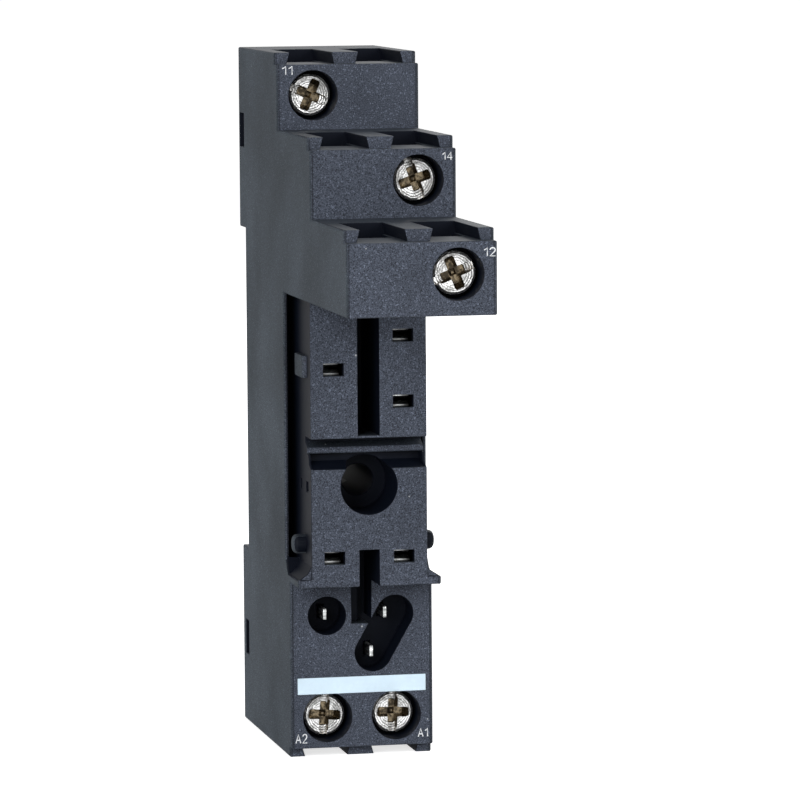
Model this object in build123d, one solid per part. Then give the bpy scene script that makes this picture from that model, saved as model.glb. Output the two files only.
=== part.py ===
from build123d import *
import os

os.makedirs("parts", exist_ok=True)

# Slim relay socket for a 35 mm rail, in millimetres.
# X runs across the width, the front faces -Y, and +Z is up.
# The origin is the centre of the seat that lies on the front of the rail.
# A depth is measured from that seat towards the front, so a point at depth d has y = -d.

# Outer form of the moulding
body_width = 15.5
edge_round = 0.25
rail_recess = 3.4
rail_width = 35.0
rail_play = 0.3
top_tier_depth = 19.1
middle_tier_depth = 37.1
low_tier_depth = 55.6
top_tier_face = 6.95
middle_tier_face = 7.15
low_tier_face = 7.5
rib_height = 1.25
rib_setback = 1.4
rib_root_gap = 1.17
rib_lean = 0.3
outer_rib_root = 1.42
tier_wall = 0.8
side_wall = 1.0
web_thickness = 1.5

# Relay bay
bay_top = 12.3
bay_depth = 28.9
bay_side_gap = 1.5
bay_wall = 1.0
lip_top = -17.6
lip_thickness = 0.9
skin_depth = 21.8
skin_edge = 0.4
channel_depth = 5.0
flare_start = -15.9
channel_bottom_gap = 0.3
wing_rise = 1.4

# Pin grid of the relay
pin_row = 7.5
common_height = 4.6
contact_pitch = 3.5
coil_distance = 20.0
pin_slot_width = 2.2
pin_slot_height = 1.35

# Details of the bay
upper_slot_width = 2.3
upper_slot_bottom = -2.45
upper_slot_floor = 19.5
groove_top = -2.7
groove_bottom = -6.0
groove_depth = 3.0
groove_slope = 0.7
groove_end_wall = 0.25
end_wall_setback = 1.35
end_wall_slope = 0.6
end_wall_foot = 1.1
ridge_setback = 1.9
ridge_top = -3.8
ridge_bottom = -4.45
ridge_lean = 0.15
ridge_root_rise = 0.65
ridge_round = 0.22
lower_slot_width = 2.15
lower_slot_top = -14.6
lower_slot_bottom = -23.1
lower_slot_floor = 20.6
ledge_width = 1.0
ledge_rise = 2.0
bump_front = 27.0
bump_length = 4.4
bump_bottom = 3.65
bump_height = 2.35
bump_reach = 0.5
stud_depth = 25.3
stud_height = -14.15
stud_radius = 1.03
stud_round = 0.55
stud_end_gap = 0.1
bump_chamfer = 0.3
pocket_reach = 1.2
pocket_low = -8.5
pocket_high = -7.4
near_pocket_front = 1.5
near_pocket_back = 2.8
far_pocket_front = 5.0
far_pocket_back = 6.1
wing_step = 0.25
wing_shoulder = 0.45

# Hole for the panel screw
screw_hole_height = -7.8
counterbore_radius = 3.05
counterbore_length = 6.3
screw_hole_radius = 1.7
counterbore_wall = 0.8
screw_tube_wall = 1.1

# Lower terminal block
block_depth = 24.3
block_bottom = -36.4
block_rib_height = 1.0
block_rib_setback = 1.0
module_hole_radius = 2.05
module_hole_height = -22.15
module_slot_radius = 2.0
module_slot_upper_x = 3.65
module_slot_lower_x = 1.27
module_slot_drop = 4.15
module_hole_floor = 0.85
marker_end = 0.75
marker_height = 1.8
marker_rise = 7.6
marker_thickness = 0.8

# Terminals
bore_radius = 2.65
face_to_axis = 3.3
head_recess = 1.9
head_back_gap = 0.15
shoulder = 0.8
shank_play = 0.15
shank_chamfer = 0.3
head_radius = 2.25
head_height = 1.7
head_round = 0.4
shank_radius = 1.45
cage_hole_play = 0.05
driver_slot_width = 0.8
driver_slot_deep = 0.8
cross_width = 1.0
cross_span = 3.5
cross_deep = 1.0
cage_side_gap = 0.5
cage_length = 4.6
cage_side = 0.8
cage_back = 0.8
cage_front = 1.5
cage_round = 0.35
cage_travel = 2.4
cage_stop_gap = 0.1
clamped_gap = 0.05
cage_play = 0.2
wire_hole_inset = 0.2
wire_hole_front = 7.4
wire_hole_overlap = 0.25
bar_gap = 0.25

# Contact strips
strip_thickness = 0.8
strip_play = 0.15
strip_bend = 0.6
strip_clearance = 0.25
leaf_thickness = 0.3
leaf_width = 1.8
leaf_length = 6.5
leaf_tip_gap = 0.4
leaf_root_gap = 0.1
leaf_belly = 0.5
leaf_belly_at = 2.5
leaf_pinch = 0.16
leaf_pinch_at = 1.0
leaf_mouth = 0.42
blade_thickness = 0.4
blade_gap = 0.15
blade_height = 1.2
blade_recess = 1.2
blade_upper_x = 2.8
blade_lower_x = 1.3

# Rear cover and rail latch
cover_plate = 1.5
cover_play = 0.1
cover_rim = 0.5
seat_relief = 0.15
seat_margin = 0.2
hook_chamfer = 0.6
hook_reach = 1.1
hook_thickness = 1.4
rail_lip_gap = 1.15
window_low_edge = 26.7
window_high_edge = 30.45
window_front = -0.3
window_back = -3.0
foot_window_low_edge = -29.85
foot_window_high_edge = -26.0
foot_window_front = -0.1
foot_window_back = -2.1
tab_play = 0.15
tab_inset = 0.65
arm_thickness = 0.8
arm_margin = 1.5
latch_width = 7.0
latch_flange = 0.8
latch_flange_thickness = 0.8
latch_thickness = 2.0
latch_play = 0.15
latch_nose = 1.2
latch_travel = 2.2
latch_foot_gap = 0.2
latch_notch_depth = 1.0
latch_flange_drop = 0.3
latch_nose_slope = 0.8
spring_window_width = 4.4
spring_window_top = -23.0
spring_spare = 0.8
spring_wire = 0.5
spring_half_width = 1.4
spring_legs = 6
spring_bend = 0.35
spring_stop = 1.0
driver_notch_width = 3.2
driver_notch_height = 1.3
driver_notch_rise = 1.0

# Values worked out from those above
half_width = body_width / 2
bay_half = half_width - bay_side_gap
low_floor = bay_top + low_tier_face
middle_floor = low_floor + rib_height + middle_tier_face
top_floor = middle_floor + rib_height + top_tier_face
recess_half = rail_width / 2 + rail_play
lip_bottom = lip_top - lip_thickness
inner_half = half_width - side_wall
web_half = web_thickness / 2
marker_width = body_width - 2 * marker_end
marker_top = block_bottom + marker_rise
back_y = rail_recess
pin_x = pin_row / 2
terminal_x = (inner_half + web_half) / 2
cage_width = inner_half - web_half - 2 * cage_side_gap
strip_width = cage_width - 2 * cage_side - 2 * strip_play
wire_hole_width = cage_width - 2 * wire_hole_inset
coil_height = common_height - coil_distance
bore_floor = head_recess + head_height + head_back_gap
cavity_front = bore_floor + shoulder
cage_front_open = cavity_front + cage_stop_gap + cage_travel
bar_front = cage_front_open + cage_front + bar_gap
bar_back = bar_front + strip_thickness
cage_back_open = bar_back + cage_travel + clamped_gap
cage_rear = cage_back_open + cage_back
wire_hole_back = cage_back_open + wire_hole_overlap
outer_rib_inner = half_width - outer_rib_root
fork_front = bay_depth - bay_wall - leaf_tip_gap
fork_base = fork_front - leaf_length
column_inner = max(upper_slot_width, lower_slot_width) / 2 + tier_wall
column_outer = bay_half - tier_wall
hall_front = top_tier_depth - cavity_front
module_hole_back = block_depth - cavity_front + module_hole_floor
cover_half = inner_half - cover_play
cover_top = top_floor - tier_wall - cover_play
cover_bottom = block_bottom + tier_wall + cover_play
latch_front_y = rail_lip_gap
latch_back_y = latch_front_y + latch_thickness
latch_half = latch_width / 2
latch_top = -recess_half + latch_nose
latch_bottom = block_bottom - block_rib_height + latch_foot_gap
spring_length = spring_legs * spring_wire + latch_travel + spring_spare

# Play between flat neighbours, and the length by which one form reaches into the next
cavity_clear = 0.1
reach = 0.1


def slab(left, right, front, back, low, high):
    """Box between two x values, two depths (front is the larger) and two heights."""
    size = Box(right - left, front - back, high - low)
    return Pos((left + right) / 2, -(front + back) / 2, (low + high) / 2) * size


def side_face(outline, x):
    """Face in the plane of constant x whose outline is a list of (depth, height)."""
    points = [Vector(x, -depth, height) for depth, height in outline]
    return make_face(Polyline(*points, close=True))


def side_prism(outline, left, right):
    """Outline of (depth, height) points carried from x = left to x = right."""
    return extrude(side_face(outline, left), amount=right - left, dir=(1, 0, 0))


def front_prism(outline, front, back):
    """Outline of (x, height) points carried from depth front to depth back."""
    points = [Vector(x, -front, height) for x, height in outline]
    return extrude(make_face(Polyline(*points, close=True)), amount=front - back, dir=(0, 1, 0))


def front_plane(x, depth, height):
    """Plane on a front face, whose normal points out of the front."""
    return Plane(origin=(x, -depth, height), x_dir=(1, 0, 0), z_dir=(0, -1, 0))


def bore(x, height, radius, front, back):
    """Cylinder along the depth, from depth front to depth back."""
    middle = -(front + back) / 2
    return Pos(x, middle, height) * Rot(90, 0, 0) * Cylinder(radius, front - back)


def both_sides(*shapes):
    """Each shape, and its mirror image on the other side of the middle plane."""
    return list(shapes) + [mirror(shape, about=Plane.YZ) for shape in shapes]


class Terminal:
    """One screw terminal: its place, its face and the side that its wire comes from."""

    def __init__(self, name, side, face, floor, wire_up, driver_angle):
        self.name = name
        self.x = side * terminal_x
        self.pin = side * pin_x
        self.face = face
        self.floor = floor
        self.wire_up = wire_up
        self.height = floor - wire_up * face_to_axis
        self.driver_angle = driver_angle


terminals = {
    "11": Terminal("11", -1, top_tier_depth, top_floor, 1, -24),
    "14": Terminal("14", 1, middle_tier_depth, middle_floor, 1, -71),
    "12": Terminal("12", 1, low_tier_depth, low_floor, 1, 22),
    "a1": Terminal("a1", 1, block_depth, block_bottom, -1, 88),
    "a2": Terminal("a2", -1, block_depth, block_bottom, -1, 86),
}


# Housing: outer form
def housing_outline():
    """Side view of the moulding at the height of its ribs, as (depth, height)."""
    foot = block_bottom - block_rib_height
    return [
        (-back_y, top_floor + rib_height),
        (top_tier_depth - rib_setback, top_floor + rib_height),
        (top_tier_depth - rib_setback, top_floor),
        (top_tier_depth, top_floor),
        (top_tier_depth, middle_floor + rib_height),
        (middle_tier_depth - rib_setback, middle_floor + rib_height),
        (middle_tier_depth - rib_setback, middle_floor),
        (middle_tier_depth, middle_floor),
        (middle_tier_depth, low_floor + rib_height),
        (low_tier_depth - rib_setback, low_floor + rib_height),
        (low_tier_depth - rib_setback, low_floor),
        (low_tier_depth, low_floor),
        (low_tier_depth, bay_top),
        (skin_depth, bay_top),
        (skin_depth, flare_start),
        (skin_depth + wing_rise, lip_top),
        (bay_depth, lip_top),
        (bay_depth, lip_bottom),
        (block_depth, lip_bottom),
        (block_depth, block_bottom),
        (block_depth - block_rib_setback, block_bottom),
        (block_depth - block_rib_setback, foot),
        (-back_y, foot),
        (-back_y, -recess_half),
        (0, -recess_half),
        (0, recess_half),
        (-back_y, recess_half),
    ]


def housing_form():
    """Outer form with rounded side edges, the bay block, its lip wings, bumps and studs."""
    form = side_prism(housing_outline(), -half_width, half_width)
    rims = form.faces().sort_by(Axis.X)
    form = fillet(rims[0].edges() + rims[-1].edges(), edge_round)
    back = skin_depth - channel_depth
    bay = slab(-bay_half, bay_half, bay_depth, back, lip_bottom, bay_top)
    wing = front_prism(
        [
            (bay_half - reach, lip_top + wing_rise),
            (bay_half, lip_top + wing_rise),
            (bay_half + wing_step * wing_rise, lip_top + wing_shoulder * wing_rise),
            (half_width - edge_round, lip_top),
            (bay_half - reach, lip_top),
        ],
        bay_depth - edge_round,
        skin_depth,
    )
    bump = slab(
        bay_half - reach,
        bay_half + bump_reach,
        bump_front,
        bump_front - bump_length,
        bump_bottom,
        bump_bottom + bump_height,
    )
    bump = chamfer(bump.edges().filter_by(Axis.Z).group_by(Axis.X)[-1], bump_chamfer)
    stud_length = half_width - stud_end_gap - bay_half
    stud = Pos(bay_half + stud_length / 2, -stud_depth, stud_height) * Rot(0, 90, 0)
    stud = stud * Cylinder(stud_radius, stud_length)
    stud = fillet(stud.edges().group_by(Axis.X)[-1], stud_round)
    return form + [bay] + both_sides(wing, bump, stud)


# Housing: channels between the ribs, and the wire holes
def rib_channels(face, floor, wire_up, height):
    """Two channels with leaning sides, which leave the three ribs of one tier."""
    cut_height = height + reach
    crest = floor + wire_up * cut_height
    lean = rib_lean * cut_height / height
    side = front_prism(
        [
            (rib_root_gap, floor),
            (outer_rib_inner, floor),
            (outer_rib_inner - lean, crest),
            (rib_root_gap + lean, crest),
        ],
        face + reach,
        face - wire_hole_back,
    )
    return both_sides(side)


def wire_hole(side, face, floor, wire_up):
    """Square hole behind the floor strip, through the wall above the clamp cage."""
    near = floor + wire_up * reach
    far = floor - wire_up * (tier_wall + cage_play + reach)
    x = side * terminal_x
    return slab(
        x - wire_hole_width / 2,
        x + wire_hole_width / 2,
        face - wire_hole_front,
        face - wire_hole_back,
        min(near, far),
        max(near, far),
    )


# Housing: inside
def column_cavities():
    """Hollows of one column of contacts, on the side of positive x, open to the rear hall."""
    cage_half = cage_length / 2 + cage_play
    back = cover_plate
    bottom = block_bottom + tier_wall
    middle_axis = middle_floor - face_to_axis
    low_axis = low_floor - face_to_axis
    coil_top = coil_height + pin_slot_height + tier_wall
    coil_run = block_depth - bar_front + strip_clearance
    wide = (web_half, inner_half)
    narrow = (column_inner, column_outer)
    return [
        slab(*wide, hall_front, back, bottom, top_floor - tier_wall),
        slab(
            *wide,
            middle_tier_depth - cavity_front,
            back,
            middle_axis - cage_half - strip_thickness,
            middle_axis + cage_half,
        ),
        slab(
            *wide,
            low_tier_depth - cavity_front,
            back,
            bay_top + tier_wall,
            low_axis + cage_half,
        ),
        slab(
            *narrow,
            bay_depth - bay_wall,
            back,
            common_height - contact_pitch - pin_slot_height - tier_wall,
            bay_top + tier_wall + reach,
        ),
        slab(*narrow, bay_depth - bay_wall, back, lip_top + tier_wall, coil_top),
        slab(*narrow, coil_run, back, lip_bottom - reach, coil_top),
        slab(column_inner, inner_half, block_depth - cavity_front, back, bottom, lip_bottom),
        slab(*wide, block_depth - cavity_front, back, bottom, lower_slot_bottom - tier_wall),
    ]


def pin_slots():
    """Five slots for the relay's flat pins, through the wall of the bay."""
    places = [
        (-pin_x, common_height),
        (pin_x, common_height + contact_pitch),
        (pin_x, common_height - contact_pitch),
        (-pin_x, coil_height),
        (pin_x, coil_height),
    ]
    cuts = []
    for x, height in places:
        cuts.append(
            slab(
                x - pin_slot_width / 2,
                x + pin_slot_width / 2,
                bay_depth + reach,
                bay_depth - bay_wall - reach,
                height - pin_slot_height / 2,
                height + pin_slot_height / 2,
            )
        )
    return cuts


def groove_ridge():
    """Ridge along the groove: its top leans down to a rounded nose over a level underside."""
    back = bay_depth - groove_depth - reach
    nose = bay_depth - ridge_setback
    outline = [
        (back, ridge_top + ridge_root_rise),
        (nose - ridge_lean, ridge_top),
        (nose, ridge_bottom),
        (back, ridge_bottom),
    ]
    ridge = side_prism(outline, -bay_half - 2 * reach, bay_half + 2 * reach)
    return fillet(ridge.edges().filter_by(Axis.X).sort_by(Axis.Y)[:2], ridge_round)


def groove():
    """Groove across the bay, open at both ends above its ridge and closed by low walls below."""
    front = bay_depth + reach
    back = bay_depth - groove_depth
    inside = [
        (front, groove_top),
        (back, groove_top),
        (back, groove_bottom + groove_slope),
        (front, groove_bottom),
    ]
    through = [
        (front, groove_top),
        (back, groove_top),
        (back, ridge_bottom),
        (bay_depth - end_wall_setback, ridge_bottom),
        (bay_depth - end_wall_foot, groove_bottom + end_wall_slope),
        (front, groove_bottom),
    ]
    inner = bay_half - groove_end_wall
    outer = bay_half + reach
    cut = side_prism(inside, -inner, inner) + side_prism(through, -outer, outer)
    return cut - groove_ridge()


def upper_slot():
    """Tall slot down the middle of the upper bay."""
    half = upper_slot_width / 2
    return slab(-half, half, bay_depth + reach, upper_slot_floor, upper_slot_bottom, bay_top)


def lower_slot():
    """Slot through the lip into the lower block, with a ledge along its left side."""
    half = lower_slot_width / 2
    front = bay_depth + reach
    slot = slab(-half, half, front, lower_slot_floor, lower_slot_bottom, lower_slot_top)
    return slot - slab(
        -half,
        ledge_width - half,
        lower_slot_floor + ledge_rise,
        lower_slot_floor,
        lower_slot_bottom,
        lip_bottom,
    )


def module_slot():
    """Slanted oblong hole for two pins of a plug-in module."""
    high = module_hole_height
    low = high - module_slot_drop
    front = block_depth + reach
    back = module_hole_back
    run = Vector(module_slot_upper_x - module_slot_lower_x, 0, module_slot_drop)
    across = Vector(run.Z, 0, -run.X).normalized() * module_slot_radius
    band = front_prism(
        [
            (module_slot_upper_x + across.X, high + across.Z),
            (module_slot_lower_x + across.X, low + across.Z),
            (module_slot_lower_x - across.X, low - across.Z),
            (module_slot_upper_x - across.X, high - across.Z),
        ],
        front,
        back,
    )
    return [
        bore(module_slot_upper_x, high, module_slot_radius, front, back),
        bore(module_slot_lower_x, low, module_slot_radius, front, back),
        band,
    ]


def blade_slit(x, height):
    """Slit through the floor of a module hole, with play round the blade that stands in it."""
    half_thick = blade_thickness / 2 + blade_gap
    half_high = blade_height / 2 + blade_gap
    front = module_hole_back + reach
    back = block_depth - cavity_front - reach
    return slab(x - half_thick, x + half_thick, front, back, height - half_high, height + half_high)


def side_channels():
    """Gaps between the thin outer skins and the bay block, for the legs of a retaining clip."""
    gap = slab(
        bay_half,
        half_width - skin_edge,
        skin_depth + reach,
        skin_depth - channel_depth,
        lip_top + channel_bottom_gap,
        bay_top,
    )
    return both_sides(gap)


def side_pockets():
    """Two small pockets in a row in each side of the bay block, beside the panel screw."""
    cuts = []
    for front, back in (
        (near_pocket_front, near_pocket_back),
        (far_pocket_front, far_pocket_back),
    ):
        cuts.append(
            slab(
                bay_half - pocket_reach,
                bay_half + reach,
                bay_depth - front,
                bay_depth - back,
                pocket_low,
                pocket_high,
            )
        )
    return both_sides(*cuts)


def snap_windows():
    """Windows in the side walls for the tabs of the rear cover."""
    inner = inner_half - reach
    outer = half_width + reach
    return both_sides(
        slab(inner, outer, window_front, window_back, window_low_edge, window_high_edge),
        slab(
            inner,
            outer,
            foot_window_front,
            foot_window_back,
            foot_window_low_edge,
            foot_window_high_edge,
        ),
    )


def latch_notch():
    """Notch in the bottom, for the foot of the rail latch and the driver that levers it."""
    half = latch_half + latch_flange + latch_play
    foot = block_bottom - block_rib_height - reach
    return slab(-half, half, latch_notch_depth, -back_y - reach, foot, block_bottom + tier_wall + reach)


def terminal_openings():
    """Screw bores, wire holes and rib channels of all tiers."""
    cuts = []
    for terminal in terminals.values():
        place = (terminal.x, terminal.height)
        floor = terminal.face - bore_floor
        back = terminal.face - cavity_front - reach
        cuts.append(bore(*place, bore_radius, terminal.face + reach, floor))
        cuts.append(bore(*place, shank_radius + shank_play, floor + reach, back))
    tiers = (
        (top_tier_depth, top_floor, 1, rib_height),
        (middle_tier_depth, middle_floor, 1, rib_height),
        (low_tier_depth, low_floor, 1, rib_height),
        (block_depth, block_bottom, -1, block_rib_height),
    )
    for face, floor, wire_up, height in tiers:
        cuts += rib_channels(face, floor, wire_up, height)
        for side in (-1, 1):
            cuts.append(wire_hole(side, face, floor, wire_up))
    return cuts


def housing():
    """The whole moulding."""
    cavities = both_sides(*column_cavities())
    cavities.append(
        slab(
            -inner_half,
            inner_half,
            cover_plate + cavity_clear,
            -back_y - reach,
            block_bottom + tier_wall,
            top_floor - tier_wall,
        )
    )
    body = housing_form() - cavities
    counterbore_floor = bay_depth - counterbore_length
    tube_front = counterbore_floor - counterbore_wall
    cup = counterbore_radius + counterbore_wall
    tube = screw_hole_radius + screw_tube_wall
    body += [
        bore(0, screw_hole_height, cup, bay_depth - bay_wall / 2, tube_front),
        bore(0, screw_hole_height, tube, tube_front + reach, 0),
    ]
    front = bay_depth + reach
    block_front = block_depth + reach
    cuts = [
        groove(),
        upper_slot(),
        lower_slot(),
        latch_notch(),
        bore(0, screw_hole_height, counterbore_radius, front, counterbore_floor),
        bore(0, screw_hole_height, screw_hole_radius, front, -reach),
        bore(-pin_x, module_hole_height, module_hole_radius, block_front, module_hole_back),
        blade_slit(-pin_x, module_hole_height),
        blade_slit(blade_upper_x, module_hole_height),
        blade_slit(blade_lower_x, module_hole_height - module_slot_drop),
        slab(
            -marker_width / 2,
            marker_width / 2,
            block_front,
            block_depth - marker_thickness,
            marker_top - marker_height,
            marker_top,
        ),
    ]
    cuts += side_channels() + side_pockets() + snap_windows() + pin_slots() + module_slot()
    return body - cuts - terminal_openings()


# Screws
def terminal_screw(terminal):
    """Pan head with a slot and a cross, on a plain shank that ends just before the bar."""
    top = terminal.face - head_recess
    plane = front_plane(terminal.x, top, terminal.height)
    upright = (Align.CENTER, Align.CENTER, Align.MAX)
    head = Cylinder(head_radius, head_height, align=upright)
    head = fillet(head.edges().filter_by(GeomType.CIRCLE).group_by(Axis.Z)[-1], head_round)
    shank = Cylinder(shank_radius, cage_front_open + cage_front - head_recess, align=upright)
    shank = chamfer(shank.edges().filter_by(GeomType.CIRCLE).group_by(Axis.Z)[0], shank_chamfer)
    screw = head + shank
    screw -= [
        Box(4 * head_radius, driver_slot_width, 2 * driver_slot_deep),
        Box(cross_span, cross_width, 2 * cross_deep),
        Box(cross_width, cross_span, 2 * cross_deep),
    ]
    return plane * Rot(0, 0, terminal.driver_angle) * screw


# Rising clamp cages
def clamp_cage(terminal):
    """Square loop round the bar and the wire, with a threaded wall that the screw draws up."""
    front = terminal.face - cage_front_open
    back = terminal.face - cage_rear
    low = terminal.height - cage_length / 2
    high = terminal.height + cage_length / 2
    loop = slab(terminal.x - cage_width / 2, terminal.x + cage_width / 2, front, back, low, high)
    loop = fillet(loop.edges().filter_by(Axis.Z), cage_round)
    inner = cage_width / 2 - cage_side
    loop -= slab(
        terminal.x - inner,
        terminal.x + inner,
        front - cage_front,
        back + cage_back,
        low - reach,
        high + reach,
    )
    hole = shank_radius + cage_hole_play
    return loop - bore(terminal.x, terminal.height, hole, front + reach, front - cage_front - reach)


# Contact strips
def folded_strip(x, width, route):
    """Flat strip that follows a route of (depth, height) points with rounded bends."""
    points = [Vector(x, -depth, height) for depth, height in route]
    path = FilletPolyline(*points, radius=strip_bend)
    start = Plane(origin=path @ 0, x_dir=(1, 0, 0), z_dir=path % 0)
    return sweep(start * Rectangle(width, strip_thickness), path=path)


def fork(x, height):
    """Two leaves that grip a flat pin of the relay, narrowing to a pinch near their tips."""
    inner = [
        (fork_base, leaf_root_gap),
        (fork_base + leaf_belly_at, leaf_belly),
        (fork_front - leaf_pinch_at, leaf_pinch),
        (fork_front, leaf_mouth),
    ]
    outer = [(depth, rise + leaf_thickness) for depth, rise in reversed(inner)]
    upper = side_prism(
        [(depth, height + rise) for depth, rise in inner + outer],
        x - leaf_width / 2,
        x + leaf_width / 2,
    )
    lower = side_prism(
        [(depth, height - rise) for depth, rise in inner + outer],
        x - leaf_width / 2,
        x + leaf_width / 2,
    )
    root = slab(
        x - leaf_width / 2,
        x + leaf_width / 2,
        fork_base + strip_thickness / 2,
        fork_base - reach,
        height - strip_thickness / 2,
        height + strip_thickness / 2,
    )
    return upper + lower + root


def module_blade(x, height, back):
    """Upright blade that a module's socket slides on."""
    return slab(
        x - blade_thickness / 2,
        x + blade_thickness / 2,
        block_depth - blade_recess,
        back,
        height - blade_height / 2,
        height + blade_height / 2,
    )


def contact_strip(terminal):
    """Clamp bar, folded run and fork of one terminal, with its module blades if it has any."""
    bar = terminal.face - bar_front - strip_thickness / 2
    end = terminal.height + terminal.wire_up * (cage_length / 2)
    turn = fork_base
    if terminal.name == "11":
        goal = common_height
        route = [(bar, end), (bar, goal), (turn, goal)]
    elif terminal.name == "12":
        goal = common_height + contact_pitch
        shelf = bay_top + tier_wall + strip_thickness / 2
        drop = fork_base - 2 * strip_bend - reach
        route = [(bar, end), (bar, shelf), (drop, shelf), (drop, goal), (turn, goal)]
    elif terminal.name == "14":
        goal = common_height - contact_pitch
        cage_half = cage_length / 2 + cage_play
        shelf = terminal.height - cage_half - strip_thickness / 2
        drop = hall_front - strip_thickness
        route = [(bar, end), (bar, shelf), (drop, shelf), (drop, goal), (turn, goal)]
    else:
        goal = coil_height
        route = [(bar, end), (bar, goal), (turn, goal)]
    strip = folded_strip(terminal.x, strip_width, route) + fork(terminal.pin, goal)
    if terminal.name == "a2":
        strip += module_blade(terminal.pin, module_hole_height, bar)
    if terminal.name == "a1":
        low = module_hole_height - module_slot_drop
        strip += module_blade(blade_upper_x, module_hole_height, bar)
        strip += module_blade(blade_lower_x, low, bar)
        strip += slab(
            blade_lower_x - blade_thickness / 2,
            terminal.x,
            bar + strip_thickness / 2,
            bar - strip_thickness / 2,
            low - blade_height / 2,
            low + blade_height / 2,
        )
    return strip


# Marker strip
def marker_strip():
    """Pale strip that fills its groove in the front of the lower block."""
    return slab(
        -marker_width / 2,
        marker_width / 2,
        block_depth,
        block_depth - marker_thickness,
        marker_top - marker_height,
        marker_top,
    )


# Rear cover
def cover_arm(low, high, front, back):
    """Side arm of the cover with the tab that snaps into a window of the side wall."""
    arm = slab(
        cover_half - arm_thickness,
        cover_half,
        max(front, 0) + cover_play,
        -back_y + cover_play,
        low - arm_margin,
        high + arm_margin,
    )
    tab = slab(
        cover_half - reach,
        half_width - tab_inset,
        front - tab_play,
        back + tab_play,
        low + tab_play,
        high - tab_play,
    )
    return both_sides(arm, tab)


def rear_cover():
    """Back plate between the side walls, with the rail seat, hook, snap tabs and latch guide."""
    floor_y = latch_front_y - latch_play
    edge = recess_half + cover_rim
    hook = slab(
        -cover_half,
        cover_half,
        -rail_lip_gap,
        -rail_lip_gap - hook_thickness,
        recess_half - hook_reach,
        recess_half + reach,
    )
    hook_edges = hook.edges().filter_by(Axis.X).group_by(Axis.Z)[0]
    hook = chamfer(hook_edges.sort_by(Axis.Y)[-1], hook_chamfer)
    stop_top = spring_window_top - spring_length
    seat_low = latch_top + seat_margin
    seat_high = recess_half - hook_reach - seat_margin
    cover = slab(-cover_half, cover_half, cover_plate, seat_relief, -edge, edge) + [
        slab(-cover_half, cover_half, cover_plate, 0, seat_low, seat_high),
        slab(-cover_half, cover_half, cover_plate, -back_y, recess_half, recess_half + cover_plate),
        slab(-cover_half, cover_half, cover_plate - back_y, -back_y, recess_half, cover_top),
        slab(-cover_half, cover_half, cover_plate, -back_y, cover_bottom, -recess_half),
        hook,
    ]
    cover += cover_arm(window_low_edge, window_high_edge, window_front, window_back)
    cover += cover_arm(
        foot_window_low_edge, foot_window_high_edge, foot_window_front, foot_window_back
    )
    flange_half = latch_half + latch_flange + latch_play
    flange_back = floor_y + latch_flange_thickness + 2 * latch_play
    low = cover_bottom - reach
    high = -recess_half + reach
    guide_half = latch_half + latch_play
    tube = screw_hole_radius + screw_tube_wall + cover_play
    cover -= [
        slab(-flange_half, flange_half, -floor_y, -flange_back, low, high),
        slab(-guide_half, guide_half, -floor_y, -back_y - reach, low, high),
        bore(0, screw_hole_height, tube, cover_plate + reach, -reach),
    ]
    return cover + slab(
        -spring_half_width,
        spring_half_width,
        -floor_y + reach,
        -latch_back_y,
        stop_top - spring_stop,
        stop_top,
    )


# Rail latch
def rail_latch():
    """Sliding foot: a nose that catches the rail, guide flanges, a spring window and a foot."""
    latch = slab(-latch_half, latch_half, -latch_front_y, -latch_back_y, latch_bottom, latch_top)
    latch = chamfer(
        latch.edges().filter_by(Axis.X).group_by(Axis.Z)[-1].sort_by(Axis.Y)[-1], latch_nose_slope
    )
    flange = latch_half + latch_flange
    latch += slab(
        -flange,
        flange,
        -latch_front_y,
        -latch_front_y - latch_flange_thickness,
        latch_bottom,
        -recess_half - latch_flange_drop,
    )
    stop_bottom = spring_window_top - spring_length - spring_stop
    latch -= slab(
        -spring_window_width / 2,
        spring_window_width / 2,
        -latch_front_y + reach,
        -latch_back_y - reach,
        stop_bottom - latch_play,
        spring_window_top,
    )
    notch_low = latch_bottom + driver_notch_rise
    latch -= slab(
        -driver_notch_width / 2,
        driver_notch_width / 2,
        -latch_front_y + reach,
        -latch_back_y - reach,
        notch_low,
        notch_low + driver_notch_height,
    )
    return latch


def rail_latch_spring():
    """Bent wire spring: level legs joined by round bends, between the stop and the latch."""
    middle_y = (latch_front_y + latch_back_y) / 2
    top = spring_window_top - spring_wire / 2
    bottom = spring_window_top - spring_length + spring_wire / 2
    swing = spring_half_width - spring_wire / 2
    rise = (top - bottom) / (spring_legs - 1)
    points = []
    for leg in range(spring_legs):
        side = -1 if leg % 2 else 1
        height = bottom + leg * rise
        points.append(Vector(-side * swing, middle_y, height))
        points.append(Vector(side * swing, middle_y, height))
    path = FilletPolyline(*points, radius=min(spring_bend, 0.45 * rise))
    start = Plane(origin=path @ 0, z_dir=path % 0)
    return sweep(start * Circle(spring_wire / 2), path=path)


# Parts
parts = {
    "housing": housing(),
    "rear_cover": rear_cover(),
    "rail_latch": rail_latch(),
    "rail_latch_spring": rail_latch_spring(),
    "marker_strip": marker_strip(),
}
for name, terminal in terminals.items():
    parts["terminal_screw_" + name] = terminal_screw(terminal)
    parts["clamp_cage_" + name] = clamp_cage(terminal)
    parts["contact_strip_" + name] = contact_strip(terminal)

for name, shape in parts.items():
    export_step(shape, "parts/" + name + ".step")
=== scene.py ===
# %% [markdown]
# # Dressing a slim relay socket
# A relay socket is a black moulding that clips onto a steel rail. Five screws clamp the wires,
# and a small plug-in relay pushes its flat pins into the slots of the open bay.
# The solids come from the frame, already in place, so this lesson only gives them their finish:
# moulded grain, softened edges, plated screws, printed numbers and plain studio light.

# %% Load the frame
import math

import bmesh
import bpy
from mathutils import Matrix, Vector


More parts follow.
